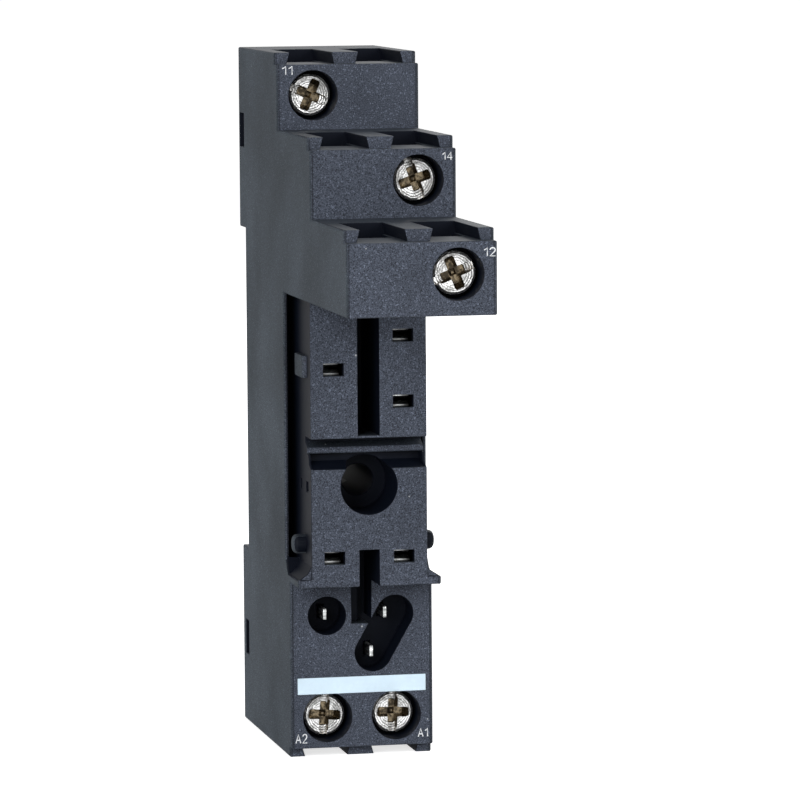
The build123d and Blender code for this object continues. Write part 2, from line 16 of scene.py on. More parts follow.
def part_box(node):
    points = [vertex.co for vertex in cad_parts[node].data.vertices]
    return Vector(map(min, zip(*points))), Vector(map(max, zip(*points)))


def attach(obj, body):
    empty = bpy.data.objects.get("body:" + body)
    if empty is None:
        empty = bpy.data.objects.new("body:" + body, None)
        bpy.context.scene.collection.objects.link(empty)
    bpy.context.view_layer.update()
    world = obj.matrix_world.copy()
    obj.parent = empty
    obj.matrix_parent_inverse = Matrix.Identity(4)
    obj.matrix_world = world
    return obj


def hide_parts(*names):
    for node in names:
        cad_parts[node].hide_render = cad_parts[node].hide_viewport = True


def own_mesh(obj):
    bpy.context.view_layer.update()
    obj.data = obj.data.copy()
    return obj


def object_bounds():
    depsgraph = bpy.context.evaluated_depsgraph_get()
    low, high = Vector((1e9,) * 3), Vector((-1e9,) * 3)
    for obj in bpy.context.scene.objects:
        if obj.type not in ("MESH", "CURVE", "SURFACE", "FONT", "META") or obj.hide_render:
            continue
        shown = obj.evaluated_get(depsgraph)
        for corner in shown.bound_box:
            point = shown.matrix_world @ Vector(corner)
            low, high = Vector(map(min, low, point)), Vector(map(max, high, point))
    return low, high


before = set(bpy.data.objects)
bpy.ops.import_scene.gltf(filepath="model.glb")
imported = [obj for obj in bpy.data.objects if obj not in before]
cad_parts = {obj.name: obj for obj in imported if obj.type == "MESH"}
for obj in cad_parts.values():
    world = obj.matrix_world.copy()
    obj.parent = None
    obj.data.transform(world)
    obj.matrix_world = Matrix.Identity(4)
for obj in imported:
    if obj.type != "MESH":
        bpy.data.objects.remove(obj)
cad_low, cad_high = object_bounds()
MM = 0.001
size_in_mm = (cad_high - cad_low) / MM
print("loaded", len(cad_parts), "nodes, size in mm", [round(side, 2) for side in size_in_mm])

# %% [markdown]
# ## The camera
# The picture was taken with a long lens from the front left, a little above the middle.
# A camera can be placed by eye, but a fitted one lets every edge be compared.
# So its turn, tip and roll are given as angles, its distance and its shift in millimetres, and a short
# function makes its three axes from them.

# %% Camera
view_turn = math.radians(-12.0988)
view_tip = math.radians(5.7944)
view_roll = math.radians(-0.38198)
view_distance = 535.2341 * MM
view_shift_right = 4.8685 * MM
view_shift_up = -3.9638 * MM
view_target = Vector((0, -21.6, 4.6)) * MM
lens_length = 225.559
film_width = 36


def camera_axes(turn, tip, roll):
    """Right, up and forward of a camera that is turned about Z, tipped down and rolled."""
    level_y = Vector((-math.sin(turn), math.cos(turn), 0))
    forward = level_y * math.cos(tip) - Vector((0, 0, math.sin(tip)))
    level_x = Vector((math.cos(turn), math.sin(turn), 0))
    rise = level_x.cross(forward)
    right = level_x * math.cos(roll) + rise * math.sin(roll)
    return right, right.cross(forward), forward


right, up, forward = camera_axes(view_turn, view_tip, view_roll)
camera_data = bpy.data.cameras.new("camera")
camera_data.lens = lens_length
camera_data.sensor_width = film_width
camera_data.clip_start = 10 * MM
camera_data.clip_end = 60
camera = bpy.data.objects.new("camera", camera_data)
place = view_target - forward * view_distance + right * view_shift_right + up * view_shift_up
camera.matrix_world = Matrix.Translation(place) @ Matrix((right, up, -forward)).transposed().to_4x4()
bpy.context.scene.collection.objects.link(camera)
bpy.context.scene.camera = camera
print("camera at", [round(value / MM, 1) for value in place])

# %% [markdown]
# ## Small helpers for nodes and meshes
# A material is a chain of nodes. Adding each node by hand takes many lines, so one helper adds a
# node, sets its options and fills or links its inputs. Another deselects all, because an operator
# acts on whatever is selected and the frame arrives selected.

# %% Helpers
def add_node(tree, kind, inputs=None, **options):
    """A shader node with its options set and its inputs filled or linked."""
    made = tree.nodes.new("ShaderNode" + kind)
    for name, value in options.items():
        setattr(made, name, value)
    for name, value in (inputs or {}).items():
        if isinstance(value, bpy.types.NodeSocket):
            tree.links.new(value, made.inputs[name])
        else:
            made.inputs[name].default_value = value
    return made


def math_node(tree, operation, *values):
    """The output of a Math node."""
    return add_node(tree, "Math", dict(enumerate(values)), operation=operation).outputs[0]


def vector_node(tree, operation, *vectors):
    """The output of a Vector Math node: a number for lengths and products, or else a vector."""
    made = add_node(tree, "VectorMath", dict(enumerate(vectors)), operation=operation)
    gives_number = operation in ("LENGTH", "DISTANCE", "DOT_PRODUCT")
    return made.outputs["Value" if gives_number else "Vector"]


def noise(tree, spot, scale, detail, **inputs):
    """A noise value at a spot."""
    inputs.update({"Vector": spot, "Scale": scale, "Detail": detail})
    return add_node(tree, "TexNoise", inputs).outputs["Fac"]


def ranged(tree, value, low, high, to_low=0.0, to_high=1.0):
    """A value carried from one range to another and held inside it."""
    inputs = {"Value": value, "From Min": low, "From Max": high, "To Min": to_low, "To Max": to_high}
    return add_node(tree, "MapRange", inputs).outputs["Result"]


def mixed_colours(tree, factor, first, second):
    """The first colour, with as much of the second as factor says."""
    made = add_node(tree, "Mix", {0: factor, 6: first, 7: second}, data_type="RGBA")
    return made.outputs[2]


def mixed_values(tree, factor, first, second):
    """The first value, with as much of the second as factor says."""
    return add_node(tree, "Mix", {0: factor, 2: first, 3: second}, data_type="FLOAT").outputs[0]


def scaled_colour(tree, colour, factor):
    """A colour made lighter or darker by a factor."""
    inputs = {0: colour, "Scale": factor}
    return add_node(tree, "VectorMath", inputs, operation="SCALE").outputs["Vector"]


def select_only(*pieces):
    """Leave only these pieces selected, with the first one active."""
    bpy.ops.object.select_all(action="DESELECT")
    for piece in pieces:
        piece.select_set(True)
    bpy.context.view_layer.objects.active = pieces[0]


def apply_place(piece):
    """Put a piece's place into its mesh, so that its object sits at the origin."""
    piece.data.transform(piece.matrix_world)
    piece.matrix_world = Matrix.Identity(4)


def triangles(piece):
    """How many triangles a piece has."""
    piece.data.calc_loop_triangles()
    return len(piece.data.loop_triangles)


# %% [markdown]
# ## Floor and light
# The object stands on a pale floor. A photographer would light a black part with large soft boxes,
# because a bare lamp would leave hot spots. The large one stands to the front left, where it lights
# the fronts and the left side alike, and a weaker one fills from the right. The one above is faint,
# because the tops have to stay darker than the fronts. One behind draws a thin light line along the
# upper edges and shows the rail side.
# The world adds a little light from all sides, and the camera and mirrors see it as white paper.
# The floor glows for the camera only, and more so far away, so that it turns white and still keeps
# the shadow round the object's foot.

# %% World and floor
world_light = 0.16
floor_reach = 24
floor_tone = (0.80, 0.80, 0.80, 1)
near_glow, far_glow = 0.72, 0.90
glow_from, glow_to = 60 * MM, 400 * MM


def seen_directly(tree):
    """1 for rays from the camera, from mirrors and through glass, and 0 for diffuse light."""
    path = add_node(tree, "LightPath")
    seen = math_node(tree, "ADD", path.outputs["Is Camera Ray"], path.outputs["Is Glossy Ray"])
    seen = math_node(tree, "ADD", seen, path.outputs["Is Transmission Ray"])
    return math_node(tree, "MINIMUM", seen, 1.0)


world = bpy.data.worlds.new("studio")
world.use_nodes = True
bpy.context.scene.world = world
studio = world.node_tree
studio.nodes.clear()
level = ranged(studio, seen_directly(studio), 0, 1, world_light, 1)
backdrop = add_node(studio, "Background", {"Color": (1, 1, 1, 1), "Strength": level})
add_node(studio, "OutputWorld", {"Surface": backdrop.outputs[0]})

bpy.ops.object.select_all(action="DESELECT")
bpy.ops.mesh.primitive_plane_add(size=floor_reach, location=(0, 0, cad_low.z))
floor = bpy.context.object
floor.name = "floor"
apply_place(floor)
paper = bpy.data.materials.new("floor paper")
paper.use_nodes = True
sheet = paper.node_tree
sheet.nodes.clear()
matt = add_node(sheet, "BsdfDiffuse", {"Color": floor_tone})
spot = add_node(sheet, "TexCoord").outputs["Object"]
distance = vector_node(sheet, "LENGTH", spot)
brightness = ranged(sheet, distance, glow_from, glow_to, near_glow, far_glow)
strength = math_node(sheet, "MULTIPLY", seen_directly(sheet), brightness)
glow = add_node(sheet, "Emission", {"Strength": strength})
lit_paper = add_node(sheet, "AddShader", {0: matt.outputs[0], 1: glow.outputs[0]})
add_node(sheet, "OutputMaterial", {"Surface": lit_paper.outputs[0]})
floor.data.materials.append(paper)
print("floor at z", round(cad_low.z / MM, 2), "mm")

# %% Soft boxes
box_distance = 650 * MM
box_target = Vector((0, -25, 0)) * MM


def soft_box(name, turn, rise, width, height, power):
    """A large lamp, turned from the front to the right and raised by degrees, with sides in mm."""
    lamp = bpy.data.lights.new(name, "AREA")
    lamp.shape = "RECTANGLE"
    lamp.size = width * MM
    lamp.size_y = height * MM
    lamp.energy = power
    rig = bpy.data.objects.new(name, lamp)
    turn, rise = math.radians(turn), math.radians(rise)
    level = Vector((math.sin(turn), -math.cos(turn), 0)) * math.cos(rise)
    towards = level + Vector((0, 0, math.sin(rise)))
    aim = (-towards).to_track_quat("-Z", "Y").to_matrix().to_4x4()
    rig.matrix_world = Matrix.Translation(box_target + towards * box_distance) @ aim
    bpy.context.scene.collection.objects.link(rig)
    print(name, "at", [round(value / MM) for value in rig.matrix_world.translation], "mm,", power, "W")


soft_box("left box", turn=-38, rise=20, width=360, height=360, power=3.6)
soft_box("right box", turn=42, rise=24, width=300, height=300, power=1.9)
soft_box("top box", turn=10, rise=72, width=300, height=300, power=0.5)
soft_box("back box", turn=150, rise=35, width=300, height=300, power=1.3)

# %% [markdown]
# ## One group for all moulded plastic
# The mould of such a part is spark-eroded, so its front faces carry a fine even grain, while the sides
# slide out of the mould and are smoother. The sides are also painted a little lighter and greyer than the
# fronts, as painted light for the way the light falls on them. A picture of the grain would show seams, so
# it is made from noise on the object's own coordinates, in metres, and the same group serves the housing,
# the latch and the pale strip with other values. A mask from the direction of each face tells fronts from
# sides. Noise of three sizes gives the grain, soft clouds and a slow drift along the sides, and a Voronoi
# texture with a cell for each grain picks a few that are painted brighter, as painted glints like those of
# sand. A last one, with large cells, puts a pale speck of dust into some of them.

# %% Moulded surface group
def new_group(name, inputs, outputs):
    """An empty shader group with colour (4 values) and number inputs and the named outputs."""
    tree = bpy.data.node_groups.new(name, "ShaderNodeTree")
    for label, value in inputs.items():
        kind = "NodeSocketColor" if isinstance(value, tuple) else "NodeSocketFloat"
        socket = tree.interface.new_socket(label, in_out="INPUT", socket_type=kind)
        socket.default_value = value
    for label, kind in outputs.items():
        tree.interface.new_socket(label, in_out="OUTPUT", socket_type="NodeSocket" + kind)
    return tree, tree.nodes.new("NodeGroupInput").outputs, tree.nodes.new("NodeGroupOutput")


front_from, front_to = 0.45, 0.85
grain_swing, rough_swing = 4.0, 0.3
side_height = 0.35
cloud_scale, drift_scale, dust_scale = 160.0, 45.0, 700.0
cloud_tones, drift_tones = (0.88, 1.12), (0.74, 1.16)
darkest_tone = 0.1
shining_from, painted_glint_tone = 0.90, 1.1
dust_rim, dust_cover = (0.05, 0.09), 0.5
dust_colour = (0.6, 0.62, 0.64, 1)
moulded_inputs = {
    "Front Colour": (0.02, 0.02, 0.02, 1),
    "Side Colour": (0.02, 0.02, 0.02, 1),
    "Grain Per Metre": 5000.0,
    "Front Contrast": 0.5,
    "Side Contrast": 0.2,
    "Front Roughness": 0.55,
    "Side Roughness": 0.7,
    "Speck Share": 0.06,
}
moulded, given, put = new_group(
    "moulded surface", moulded_inputs, {"Colour": "Color", "Roughness": "Float", "Height": "Float"}
)
coords = add_node(moulded, "TexCoord").outputs
spot = coords["Object"]
turned_to = add_node(moulded, "SeparateXYZ", {0: coords["Normal"]}).outputs
front = ranged(moulded, math_node(moulded, "ABSOLUTE", turned_to["Y"]), front_from, front_to)
grain = noise(moulded, spot, given["Grain Per Metre"], 4.0, Roughness=0.7)
cloud = noise(moulded, spot, cloud_scale, 3.0)
drift = noise(moulded, spot, drift_scale, 2.0)
contrast = mixed_values(moulded, front, given["Side Contrast"], given["Front Contrast"])
swing = math_node(moulded, "MULTIPLY", math_node(moulded, "SUBTRACT", grain, 0.5), contrast)
tone = math_node(moulded, "MULTIPLY_ADD", swing, grain_swing, 1.0)
sand_inputs = {"Vector": spot, "Scale": given["Grain Per Metre"], "Randomness": 1.0}
sand = add_node(moulded, "TexVoronoi", sand_inputs).outputs["Color"]
sand_chance = add_node(moulded, "SeparateColor", {0: sand}).outputs[1]
# Painted glints: a few grains are painted brighter, as if they caught the light.
bright = ranged(moulded, sand_chance, shining_from, 1.0, 0.0, painted_glint_tone)
tone = math_node(moulded, "ADD", tone, math_node(moulded, "MULTIPLY", bright, contrast))
tone = math_node(moulded, "MULTIPLY", tone, ranged(moulded, cloud, 0.3, 0.7, *cloud_tones))
side_drift = ranged(moulded, drift, 0.35, 0.65, *drift_tones)
tone = math_node(moulded, "MULTIPLY", tone, mixed_values(moulded, front, side_drift, 1.0))
# The sides take a colour of their own: part of it is their smoother finish, and part is painted light, a
# little lighter and greyer than the fronts.
shade = mixed_colours(moulded, front, given["Side Colour"], given["Front Colour"])
shade = scaled_colour(moulded, shade, math_node(moulded, "MAXIMUM", tone, darkest_tone))
dust = add_node(moulded, "TexVoronoi", {"Vector": spot, "Scale": dust_scale}).outputs
dust_chance = add_node(moulded, "SeparateColor", {0: dust["Color"]}).outputs[0]
picked = math_node(moulded, "LESS_THAN", dust_chance, given["Speck Share"])
speck = math_node(moulded, "MULTIPLY", ranged(moulded, dust["Distance"], *dust_rim, 1, 0), picked)
shade = mixed_colours(moulded, math_node(moulded, "MULTIPLY", speck, dust_cover), shade, dust_colour)
rough = mixed_values(moulded, front, given["Side Roughness"], given["Front Roughness"])
rough = math_node(moulded, "ADD", rough, math_node(moulded, "MULTIPLY", swing, rough_swing))
height = math_node(moulded, "MULTIPLY", grain, mixed_values(moulded, front, side_height, 1.0))
for label, socket in (("Colour", shade), ("Roughness", rough), ("Height", height)):
    moulded.links.new(socket, put.inputs[label])
print("moulded surface group:", len(moulded.nodes), "nodes")

# %% [markdown]
# ## One group for plated metal
# Screws, clamps, contact strips and the spring are all plated, and plating is never even: it has a
# fine orange-peel grain and soft darker clouds where it was handled. The group mixes a light and a
# dark tone by both, and gives a height for the grain.

# %% Plated metal group
handled_scale = 900.0
dull_share = 0.25
plated_inputs = {
    "Light Colour": (0.8, 0.8, 0.8, 1),
    "Dark Colour": (0.3, 0.3, 0.3, 1),
    "Grain Per Metre": 4000.0,
    "Dark Share": 0.4,
    "Roughness": 0.3,
}
plated, given, put = new_group(
    "plated metal", plated_inputs, {"Colour": "Color", "Roughness": "Float", "Height": "Float"}
)
spot = add_node(plated, "TexCoord").outputs["Object"]
grain = noise(plated, spot, given["Grain Per Metre"], 3.0)
cloud = noise(plated, spot, handled_scale, 2.0)
patchy = math_node(plated, "MULTIPLY_ADD", cloud, 0.5, math_node(plated, "MULTIPLY", grain, 0.5))
dark = math_node(plated, "MULTIPLY", ranged(plated, patchy, 0.56, 0.44), given["Dark Share"])
tint = mixed_colours(plated, dark, given["Light Colour"], given["Dark Colour"])
rough = math_node(plated, "ADD", given["Roughness"], math_node(plated, "MULTIPLY", dark, dull_share))
for label, socket in (("Colour", tint), ("Roughness", rough), ("Height", grain)):
    plated.links.new(socket, put.inputs[label])
print("plated metal group:", len(plated.nodes), "nodes")

# %% [markdown]
# ## Where the mould is polished, and shade is painted
# Only the outer faces of the mould are spark-eroded. The pins and cores that leave the bores, slots and
# channels are polished, so the walls and floors inside are smooth, without grain. They are also painted
# near black as painted shade, where little light reaches in, and the same painted shade covers the groove
# below the ridge and the upward faces of the sloped wings. The mask could be painted by hand, but the
# places are known from the frame, and a mask of places stays sharp at any size. So the places come first:
# the outer front planes, the holes, the bay, the groove below its ridge and the sloped wings at the bay's
# foot.

# %% Places of the cores
terminal_names = ("11", "14", "12", "a1", "a2")
head_recess = 1.9 * MM
rib_setbacks = {"11": 1.4 * MM, "14": 1.4 * MM, "12": 1.4 * MM, "a1": 1.0 * MM}
front_planes = [-28.9 * MM, -28.65 * MM, -26.93 * MM, -21.8 * MM]
for name, setback in rib_setbacks.items():
    face_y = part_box("terminal_screw_" + name)[0].y - head_recess
    front_planes += [face_y, face_y + setback]
bore_radius = 2.68 * MM
round_holes = [(0, -7.8 * MM, 3.08 * MM), (-3.75 * MM, -22.15 * MM, 2.08 * MM)]
for name in terminal_names:
    low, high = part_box("terminal_screw_" + name)
    round_holes.append(((low.x + high.x) / 2, (low.z + high.z) / 2, bore_radius))
slot_start = Vector((3.65, 0, -22.15)) * MM
slot_end = Vector((1.27, 0, -26.3)) * MM
slot_radius = 2.03 * MM
holes_from = -12 * MM
inner_wall = 6.6 * MM
bay_half, bay_low, bay_high = 6.3 * MM, -18.6 * MM, 12.3 * MM
groove_front, groove_back = -28.75 * MM, -25.2 * MM
groove_low, groove_high, groove_half = -6.05 * MM, -4.45 * MM, 6.35 * MM
wing_low, wing_high = -18.2 * MM, -15.3 * MM
print(len(front_planes), "outer front planes and", len(round_holes), "round holes")

# %% [markdown]
# A mask in a shader is a number that is 1 where something holds and 0 elsewhere. Two masks are joined
# by their product where both must hold, and by the larger one where either is enough. With these
# two, each kind of core becomes a short function of the place and of the direction of the face.

# %% Masks
def all_of(tree, *masks):
    """1 where every one of the masks is 1."""
    result = masks[0]
    for mask in masks[1:]:
        result = math_node(tree, "MULTIPLY", result, mask)
    return result


def any_of(tree, *masks):
    """1 where at least one of the masks is 1."""
    result = masks[0]
    for mask in masks[1:]:
        result = math_node(tree, "MAXIMUM", result, mask)
    return result


def above(tree, value, low):
    """1 where a value is more than a limit."""
    return math_node(tree, "GREATER_THAN", value, low)


def below(tree, value, high):
    """1 where a value is less than a limit."""
    return math_node(tree, "LESS_THAN", value, high)


def within(tree, value, low, high):
    """1 where a value lies between two limits."""
    return all_of(tree, above(tree, value, low), below(tree, value, high))


# %% Kinds of core
faces_clearly = 0.6
plane_reach = 0.2 * MM
wing_rises = 0.25


def inner_sides(tree, at, facing, from_middle):
    """Side walls nearer the middle than the outer ones, which stand further in at the bay."""
    sideways = above(tree, math_node(tree, "ABSOLUTE", facing["X"]), faces_clearly)
    limit = mixed_values(tree, within(tree, at["Z"], bay_low, bay_high), inner_wall, bay_half)
    return all_of(tree, sideways, below(tree, from_middle, limit))


def deep_fronts(tree, at, facing):
    """Faces to the front that are on none of the outer planes."""
    fronts = below(tree, facing["Y"], -faces_clearly)
    outer = 0.0
    for plane in front_planes:
        outer = any_of(tree, outer, within(tree, at["Y"], plane - plane_reach, plane + plane_reach))
    return all_of(tree, fronts, math_node(tree, "SUBTRACT", 1.0, outer))


def inside_holes(tree, at):
    """Places within the round holes, or near enough to the line between the ends of the slanted one."""
    flat = add_node(tree, "CombineXYZ", {"X": at["X"], "Z": at["Z"]}).outputs[0]
    hole = 0.0
    for x, z, radius in round_holes:
        hole = any_of(tree, hole, below(tree, vector_node(tree, "DISTANCE", flat, (x, 0, z)), radius))
    run = slot_end - slot_start
    offset = vector_node(tree, "SUBTRACT", flat, slot_start)
    along = math_node(tree, "DIVIDE", vector_node(tree, "DOT_PRODUCT", offset, run), run.length_squared)
    nearest = scaled_colour(tree, run, ranged(tree, along, 0, 1))
    slanted = below(tree, vector_node(tree, "DISTANCE", offset, nearest), slot_radius)
    return all_of(tree, any_of(tree, hole, slanted), below(tree, at["Y"], holes_from))


def in_groove(tree, at, from_middle):
    """The groove below the ridge of the bay."""
    upright = within(tree, at["Z"], groove_low, groove_high)
    deep = within(tree, at["Y"], groove_front, groove_back)
    return all_of(tree, upright, deep, below(tree, from_middle, groove_half))


def on_wings(tree, at, facing, from_middle):
    """The faces of the wings that slope upwards beside the foot of the bay."""
    foot = within(tree, at["Z"], wing_low, wing_high)
    outside = all_of(tree, above(tree, from_middle, bay_half), below(tree, at["Y"], holes_from))
    return all_of(tree, above(tree, facing["Z"], wing_rises), foot, outside)


# %% [markdown]
# The group gathers these masks into one. Faces that look up get part of the painted shade and a little
# more gloss, so it puts out a second mask for them.

# %% Polished cores group, with painted shade
top_from, top_to = 0.65, 0.85


def cores_group():
    """A group whose mask is 1 on the smooth walls and floors inside, which get painted shade, and whose
    top is 1 facing up.
    """
    tree, _, put = new_group("polished cores and painted shade", {}, {"Mask": "Float", "Top": "Float"})
    coords = add_node(tree, "TexCoord").outputs
    at = add_node(tree, "SeparateXYZ", {0: coords["Object"]}).outputs
    facing = add_node(tree, "SeparateXYZ", {0: coords["Normal"]}).outputs
    from_middle = math_node(tree, "ABSOLUTE", at["X"])
    # The mask marks the smooth cores, and the same mask paints shade into them, the groove and the wings.
    mask = any_of(
        tree,
        inner_sides(tree, at, facing, from_middle),
        deep_fronts(tree, at, facing),
        inside_holes(tree, at),
        in_groove(tree, at, from_middle),
        on_wings(tree, at, facing, from_middle),
    )
    tree.links.new(mask, put.inputs["Mask"])
    tree.links.new(ranged(tree, facing["Z"], top_from, top_to), put.inputs["Top"])
    return tree


polished_cores_and_shade = cores_group()
print("polished cores and painted shade group:", len(polished_cores_and_shade.nodes), "nodes")

# %% [markdown]
# ## The plastics
# Each material is a Principled BSDF that takes its colour, roughness and bump from the group.
# The housing has two things more: its cores are smooth and painted near black, and its tops part of the
# way, as painted shade, and a thin line of painted shade runs just inside its side edges, where the
# rounded edge turns away from the light. The X coordinate says where that line is.

# %% Plastic materials
def new_material(name):
    """A material with an empty node tree."""
    material = bpy.data.materials.new(name)
    material.use_nodes = True
    material.node_tree.nodes.clear()
    return material, material.node_tree


def finish_surface(tree, colour, roughness, height, depth, strength, **constants):
    """A Principled BSDF with a bump of a depth in millimetres, and its output."""
    bump_inputs = {"Height": height, "Distance": depth * MM, "Strength": strength}
    bump = add_node(tree, "Bump", bump_inputs).outputs[0]
    inputs = {"Base Color": colour, "Roughness": roughness, "Normal": bump}
    inputs.update(constants)
    shader = add_node(tree, "BsdfPrincipled", inputs)
    add_node(tree, "OutputMaterial", {"Surface": shader.outputs[0]})


half_width = cad_high.x
arris_inset = 0.30 * MM
arris_width = 0.10 * MM
# Painted shade: the cores are painted near black, and the tops part of the way to it.
painted_core_shade = (0.0012, 0.0024, 0.0062, 1)
core_roughness = 0.6
painted_top_shade = 0.6
top_roughness = 0.5
painted_arris_shade = 0.45
grain_depth, grain_strength = 0.03, 0.6


def moulded_plastic(name, values, specular, core_group=None):
    """A moulded plastic. With the group of the cores it has smooth recesses and tops with painted shade,
    and thin side lines of painted shade.
    """
    material, tree = new_material(name)
    surface = add_node(tree, "Group", values, node_tree=moulded).outputs
    colour, rough, height = surface["Colour"], surface["Roughness"], surface["Height"]
    if core_group is not None:
        coords = add_node(tree, "TexCoord").outputs
        across = add_node(tree, "SeparateXYZ", {0: coords["Object"]}).outputs["X"]
        facing = add_node(tree, "SeparateXYZ", {0: coords["Normal"]}).outputs["Y"]
        # A thin line of painted shade just inside each side edge, where the rounded edge turns away from
        # the light.
        offset = math_node(tree, "SUBTRACT", math_node(tree, "ABSOLUTE", across), half_width - arris_inset)
        near = ranged(tree, math_node(tree, "ABSOLUTE", offset), arris_width * 0.4, arris_width, 1, 0)
        line = math_node(tree, "MULTIPLY", near, math_node(tree, "ABSOLUTE", facing))
        colour = scaled_colour(tree, colour, ranged(tree, line, 0, 1, 1, painted_arris_shade))
        found = add_node(tree, "Group", node_tree=core_group).outputs
        core_and_shade, top = found["Mask"], found["Top"]
        # Painted shade: the cores near black, the tops part of the way.
        streak_coords_or_painted_shade = math_node(tree, "MAXIMUM", core_and_shade, math_node(tree, "MULTIPLY", top, painted_top_shade))
        colour = mixed_colours(tree, streak_coords_or_painted_shade, colour, painted_core_shade)
        rough = mixed_values(tree, core_and_shade, mixed_values(tree, top, rough, top_roughness), core_roughness)
        height = math_node(tree, "MULTIPLY", height, math_node(tree, "SUBTRACT", 1.0, core_and_shade))
    constants = {"Specular IOR Level": specular}
    finish_surface(tree, colour, rough, height, grain_depth, grain_strength, **constants)
    return material


housing_values = {
    "Front Colour": (0.043, 0.050, 0.067, 1),
    "Side Colour": (0.051, 0.061, 0.073, 1),
    "Grain Per Metre": 8800.0,
    "Front Contrast": 1.45,
    "Side Contrast": 0.9,
    "Front Roughness": 0.55,
    "Side Roughness": 0.8,
    "Speck Share": 0.1,
}
latch_values = dict(housing_values)
latch_values["Front Colour"] = (0.030, 0.034, 0.042, 1)
latch_values["Side Colour"] = (0.030, 0.034, 0.040, 1)
strip_values = {
    "Front Colour": (0.55, 0.68, 0.78, 1),
    "Side Colour": (0.53, 0.66, 0.76, 1),
    "Grain Per Metre": 2600.0,
    "Front Contrast": 0.03,
    "Side Contrast": 0.03,
    "Front Roughness": 0.38,
    "Side Roughness": 0.4,
    "Speck Share": 0.0,
}
housing_plastic = moulded_plastic("housing plastic", housing_values, 0.1, polished_cores_and_shade)
latch_plastic = moulded_plastic("latch plastic", latch_values, 0.15)
marker_plastic = moulded_plastic("marker plastic", strip_values, 0.5)
print("three plastics")

# %% [markdown]
# ## The metals
# The screws are bright zinc with fine turned ridges, so their colour also follows a UV map, which
# lies flat on the head with its zero in the middle. The driver recess keeps a brown passivated film.
# The strips are tinned and rolled, so they have streaks along the width. Inside a pin slot the tin is
# painted bright at the left of each fork, as painted light, and dark towards the right, as the painted
# shadow of the slot's edge.
# The clamps and the spring are plain plated steel.

# %% Metal materials
ridge_step, ridge_height = 0.115, 0.8
ridge_wander, wander_scale = 0.16, 6.0
ridges_from, ridges_full = 0.40, 0.55
ridge_tones = (0.62, 1.12)
streak_scales = (250, 700, 3600)
streak_tones = (0.45, 1.5)
pin_row = 3.75 * MM
# Where the painted light of a fork fades into painted shade, and how dark that shade is.
fork_light_from, fork_shade_to, fork_shade_tone = -0.45 * MM, 0.95 * MM, 0.12
metal_strength = 0.7


def turned_ridges(tree, colour, height):
    """Fine concentric ridges round the middle of a turned head."""
    flat = add_node(tree, "UVMap", uv_map="turned").outputs[0]
    outwards = vector_node(tree, "LENGTH", flat)
    wander = noise(tree, flat, wander_scale, 4.0)
    wavy = math_node(tree, "MULTIPLY_ADD", wander, ridge_wander, outwards)
    wave = math_node(tree, "SINE", math_node(tree, "MULTIPLY", wavy, 2 * math.pi / ridge_step))
    zone = ranged(tree, outwards, ridges_from, ridges_full)
    ridge = math_node(tree, "MULTIPLY", wave, zone)
    colour = scaled_colour(tree, colour, ranged(tree, ridge, -1, 1, *ridge_tones))
    return colour, math_node(tree, "MULTIPLY_ADD", ridge, ridge_height, height)


def streaks_and_fork_shade(tree, colour, height):
    """Streaks along the width of a rolled strip, with painted light at the left of each fork and painted
    shade towards its right.
    """
    spot = add_node(tree, "TexCoord").outputs["Object"]
    streak_coords_or_painted_shade = add_node(tree, "Mapping", {"Vector": spot, "Scale": streak_scales}).outputs[0]
    streak = noise(tree, streak_coords_or_painted_shade, 1.0, 3.0)
    across = add_node(tree, "SeparateXYZ", {0: spot}).outputs["X"]
    row = math_node(tree, "MULTIPLY", math_node(tree, "SIGN", across), pin_row)
    along_fork = math_node(tree, "SUBTRACT", across, row)
    # Painted light and shade: bright at the left of each fork, darker towards the right, where the slot's
    # edge shades it.
    fork_light_and_shade = ranged(tree, along_fork, fork_light_from, fork_shade_to, 1.0, fork_shade_tone)
    tone = math_node(tree, "MULTIPLY", ranged(tree, streak, 0.38, 0.60, *streak_tones), fork_light_and_shade)
    return scaled_colour(tree, colour, tone), math_node(tree, "ADD", height, streak)


def plated_metal(name, values, bump_depth, working=None):
    """A plated metal, with the marks that its working left, such as ridges or streaks."""
    material, tree = new_material(name)
    surface = add_node(tree, "Group", values, node_tree=plated).outputs
    colour, height = surface["Colour"], surface["Height"]
    if working is not None:
        colour, height = working(tree, colour, height)
    finish_surface(tree, colour, surface["Roughness"], height, bump_depth, metal_strength, Metallic=1.0)
    return material


screw_values = {
    "Light Colour": (0.88, 0.88, 0.88, 1),
    "Dark Colour": (0.38, 0.38, 0.37, 1),
    "Grain Per Metre": 6500.0,
    "Dark Share": 0.9,
    "Roughness": 0.36,
}
recess_values = {
    "Light Colour": (0.20, 0.16, 0.105, 1),
    "Dark Colour": (0.04, 0.033, 0.024, 1),
    "Grain Per Metre": 3400.0,
    "Dark Share": 0.9,
    "Roughness": 0.22,
}
cage_values = dict(screw_values)
cage_values["Light Colour"] = (0.66, 0.66, 0.64, 1)
cage_values["Dark Share"] = 0.4
tin_values = {
    "Light Colour": (0.60, 0.62, 0.62, 1),
    "Dark Colour": (0.16, 0.165, 0.165, 1),
    "Grain Per Metre": 3000.0,
    "Dark Share": 0.6,
    "Roughness": 0.34,
}
screw_plating = plated_metal("screw plating", screw_values, 0.03, turned_ridges)
recess_film = plated_metal("recess film", recess_values, 0.04)
cage_plating = plated_metal("cage plating", cage_values, 0.02)
strip_tin = plated_metal("strip tin", tin_values, 0.015, streaks_and_fork_shade)
spring_wire = plated_metal("spring wire", cage_values, 0.01)
print("five metals")

